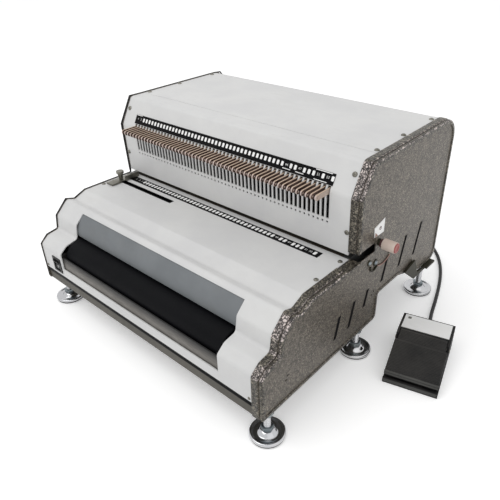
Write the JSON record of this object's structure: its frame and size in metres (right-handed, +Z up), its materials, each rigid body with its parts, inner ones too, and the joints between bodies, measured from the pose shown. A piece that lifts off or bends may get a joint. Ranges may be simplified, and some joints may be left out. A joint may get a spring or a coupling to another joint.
{
  "type": "electric coil binding machine",
  "caption": "Free-standing electric coil punch and inserter: hammertone side panels, white covers, row of pin selectors, rubber roller and a corded foot pedal.",
  "frame": {"origin": "middle of the box round the machine and its pedal, on the floor plane that the feet and pedal stand on", "axes": "+X to the right along the hole row as the user faces the machine, +Y from the user towards the rear, +Z up"},
  "size_m": [0.5194, 0.5071, 0.2601],
  "materials": {
    "cover_white": "semi-gloss, fine texture",
    "hammertone": "hammer-effect paint, antique silver",
    "sheet_grey": "satin",
    "frame_steel": "satin",
    "ground_steel": "ground",
    "slate_panel": "satin",
    "tray_brown": "satin",
    "roller_rubber": "satin",
    "pulley_alloy": "turned",
    "motor_paint": "satin",
    "belt_rubber": "matte",
    "black_steel": "satin",
    "knob_cream": "translucent satin with a red end",
    "label_white": "satin",
    "black_plastic": "satin",
    "scale_black": "printed film with white windows",
    "zinc_screw": "zinc plated",
    "lever_tan": "yellow passivated, dull",
    "foot_chrome": "polished, over a black rubber pad",
    "drawer_grey": "satin",
    "pedal_black": "matte texture",
    "cord_black": "smooth"
  },
  "bodies": {
    "machine": {"backing_panel": "slate_panel", "base_pan": "sheet_grey", "cord_gland": "black_plastic", "cover_screws": "zinc_screw", "depth_tag": "label_white", "die_plate": "ground_steel", "drive_belt": "belt_rubber", "foot_brackets": "black_steel", "frame_plates": "frame_steel", "front_cover": "cover_white", "guide_posts": "ground_steel", "hole_scales": "scale_black", "inserter_motor": "motor_paint", "left_side_panel": "hammertone", "pedal_base": "pedal_black", "pedal_cord_coil": "cord_black", "pedal_cord_run": "cord_black", "pedal_cord_tail": "cord_black", "pedal_label_plate": "label_white", "pedal_pivot_pin": "zinc_screw", "power_inlet": "black_plastic", "punch_motor": "motor_paint", "rear_cover": "cover_white", "right_side_panel": "hammertone", "roller_tray": "tray_brown", "shaft_bearings": "frame_steel", "stripper_plate": "ground_steel", "switch_bezel": "black_plastic", "tie_bars": "frame_steel", "tower_front": "cover_white", "tower_top": "cover_white"},
    "ram": {"ram_beam": "ground_steel", "punch_pins": "ground_steel"},
    "crank_rods": {"crank_rods": "frame_steel"},
    "drive": {"drive_shaft": "ground_steel", "drive_gear": "frame_steel"},
    "pinion": {"motor_pinion": "frame_steel"},
    "depth_stop": {"depth_stop_shaft": "black_steel", "depth_knob": "knob_cream"},
    "edge_guide": {"edge_guide": "zinc_screw"},
    "guide_knob": {"guide_clamp_knob": "zinc_screw"},
    "roller": {"inserter_roller": "roller_rubber", "roller_shaft": "ground_steel", "roller_pulley": "pulley_alloy"},
    "coil_motor": {"motor_pulley": "pulley_alloy"},
    "rocker": {"switch_rocker": "black_plastic"},
    "drawer": {"chip_drawer": "drawer_grey"},
    "treadle": {"pedal_treadle": "pedal_black"},
    "selectors_1": {"selector_bank_1": "lever_tan"},
    "foot_1": {"levelling_foot_1": "foot_chrome"},
    "selectors_2": {"selector_bank_2": "lever_tan"},
    "foot_2": {"levelling_foot_2": "foot_chrome"},
    "selectors_3": {"selector_bank_3": "lever_tan"},
    "foot_3": {"levelling_foot_3": "foot_chrome"},
    "selectors_4": {"selector_bank_4": "lever_tan"},
    "foot_4": {"levelling_foot_4": "foot_chrome"},
    "selectors_5": {"selector_bank_5": "lever_tan"},
    "foot_5": {"levelling_foot_5": "foot_chrome"},
    "selectors_6": {"selector_bank_6": "lever_tan"},
    "foot_6": {"levelling_foot_6": "foot_chrome"}
  },
  "joints": [
    {"name": "ram_slide", "type": "slide", "parent": "machine", "child": "ram", "axis": [0, 0, -1], "range_m": [0, 0.02]},
    {"name": "rod_swing", "type": "hinge", "parent": "ram", "child": "crank_rods", "pos_m": [-0.05774, -0.002, 0.218], "axis": [1, 0, 0], "range_deg": [0, 25]},
    {"name": "drive_spin", "type": "hinge", "parent": "machine", "child": "drive", "pos_m": [-0.05774, 0.031, 0.175], "axis": [1, 0, 0], "continuous": true},
    {"name": "pinion_spin", "type": "hinge", "parent": "machine", "child": "pinion", "pos_m": [-0.05774, 0.058, 0.175], "axis": [1, 0, 0], "continuous": true},
    {"name": "depth_turn", "type": "hinge", "parent": "machine", "child": "depth_stop", "pos_m": [-0.05774, 0.0125, 0.1525], "axis": [-1, 0, 0], "range_deg": [0, 90]},
    {"name": "guide_slide", "type": "slide", "parent": "machine", "child": "edge_guide", "axis": [1, 0, 0], "range_m": [0, 0.11]},
    {"name": "guide_knob_turn", "type": "hinge", "parent": "edge_guide", "child": "guide_knob", "pos_m": [-0.23974, -0.0614, 0.15], "axis": [0, 0, 1], "continuous": true},
    {"name": "roller_spin", "type": "hinge", "parent": "machine", "child": "roller", "pos_m": [-0.05774, -0.166, 0.084], "axis": [1, 0, 0], "continuous": true},
    {"name": "coil_motor_spin", "type": "hinge", "parent": "machine", "child": "coil_motor", "pos_m": [-0.22774, -0.084, 0.1], "axis": [1, 0, 0], "continuous": true},
    {"name": "switch_tilt", "type": "hinge", "parent": "machine", "child": "rocker", "pos_m": [-0.22074, -0.188, 0.0715], "axis": [-1, 0, 0], "range_deg": [0, 12]},
    {"name": "drawer_slide", "type": "slide", "parent": "machine", "child": "drawer", "axis": [0, -1, 0], "range_m": [0, 0.18]},
    {"name": "treadle_press", "type": "hinge", "parent": "machine", "child": "treadle", "pos_m": [0.21523, 0.0272, 0.027], "axis": [0.9681, 0.2504, 0], "range_deg": [0, 6], "stiffness_Nm_per_rad": 2, "springref_deg": -6.02},
    {"name": "selector_pull_1", "type": "slide", "parent": "ram", "child": "selectors_1", "axis": [0, -1, 0], "range_m": [0, 0.008]},
    {"name": "selector_pull_2", "type": "slide", "parent": "ram", "child": "selectors_2", "axis": [0, -1, 0], "range_m": [0, 0.008]},
    {"name": "selector_pull_3", "type": "slide", "parent": "ram", "child": "selectors_3", "axis": [0, -1, 0], "range_m": [0, 0.008]},
    {"name": "selector_pull_4", "type": "slide", "parent": "ram", "child": "selectors_4", "axis": [0, -1, 0], "range_m": [0, 0.008]},
    {"name": "selector_pull_5", "type": "slide", "parent": "ram", "child": "selectors_5", "axis": [0, -1, 0], "range_m": [0, 0.008]},
    {"name": "selector_pull_6", "type": "slide", "parent": "ram", "child": "selectors_6", "axis": [0, -1, 0], "range_m": [0, 0.008]},
    {"name": "foot_turn_1", "type": "hinge", "parent": "machine", "child": "foot_1", "pos_m": [0.14376, -0.178, 0.01], "axis": [0, 0, 1], "continuous": true},
    {"name": "foot_turn_2", "type": "hinge", "parent": "machine", "child": "foot_2", "pos_m": [0.14376, -0.008, 0.01], "axis": [0, 0, 1], "continuous": true},
    {"name": "foot_turn_3", "type": "hinge", "parent": "machine", "child": "foot_3", "pos_m": [0.14376, 0.161, 0.01], "axis": [0, 0, 1], "continuous": true},
    {"name": "foot_turn_4", "type": "hinge", "parent": "machine", "child": "foot_4", "pos_m": [-0.23974, -0.178, 0.01], "axis": [0, 0, 1], "continuous": true},
    {"name": "foot_turn_5", "type": "hinge", "parent": "machine", "child": "foot_5", "pos_m": [-0.23974, -0.008, 0.01], "axis": [0, 0, 1], "continuous": true},
    {"name": "foot_turn_6", "type": "hinge", "parent": "machine", "child": "foot_6", "pos_m": [-0.23974, 0.161, 0.01], "axis": [0, 0, 1], "continuous": true}
  ],
  "couplings": [
    {"joint": "pinion_spin", "follows": "drive_spin", "ratio": -2},
    {"joint": "coil_motor_spin", "follows": "roller_spin", "ratio": 1.5556}
  ]
}
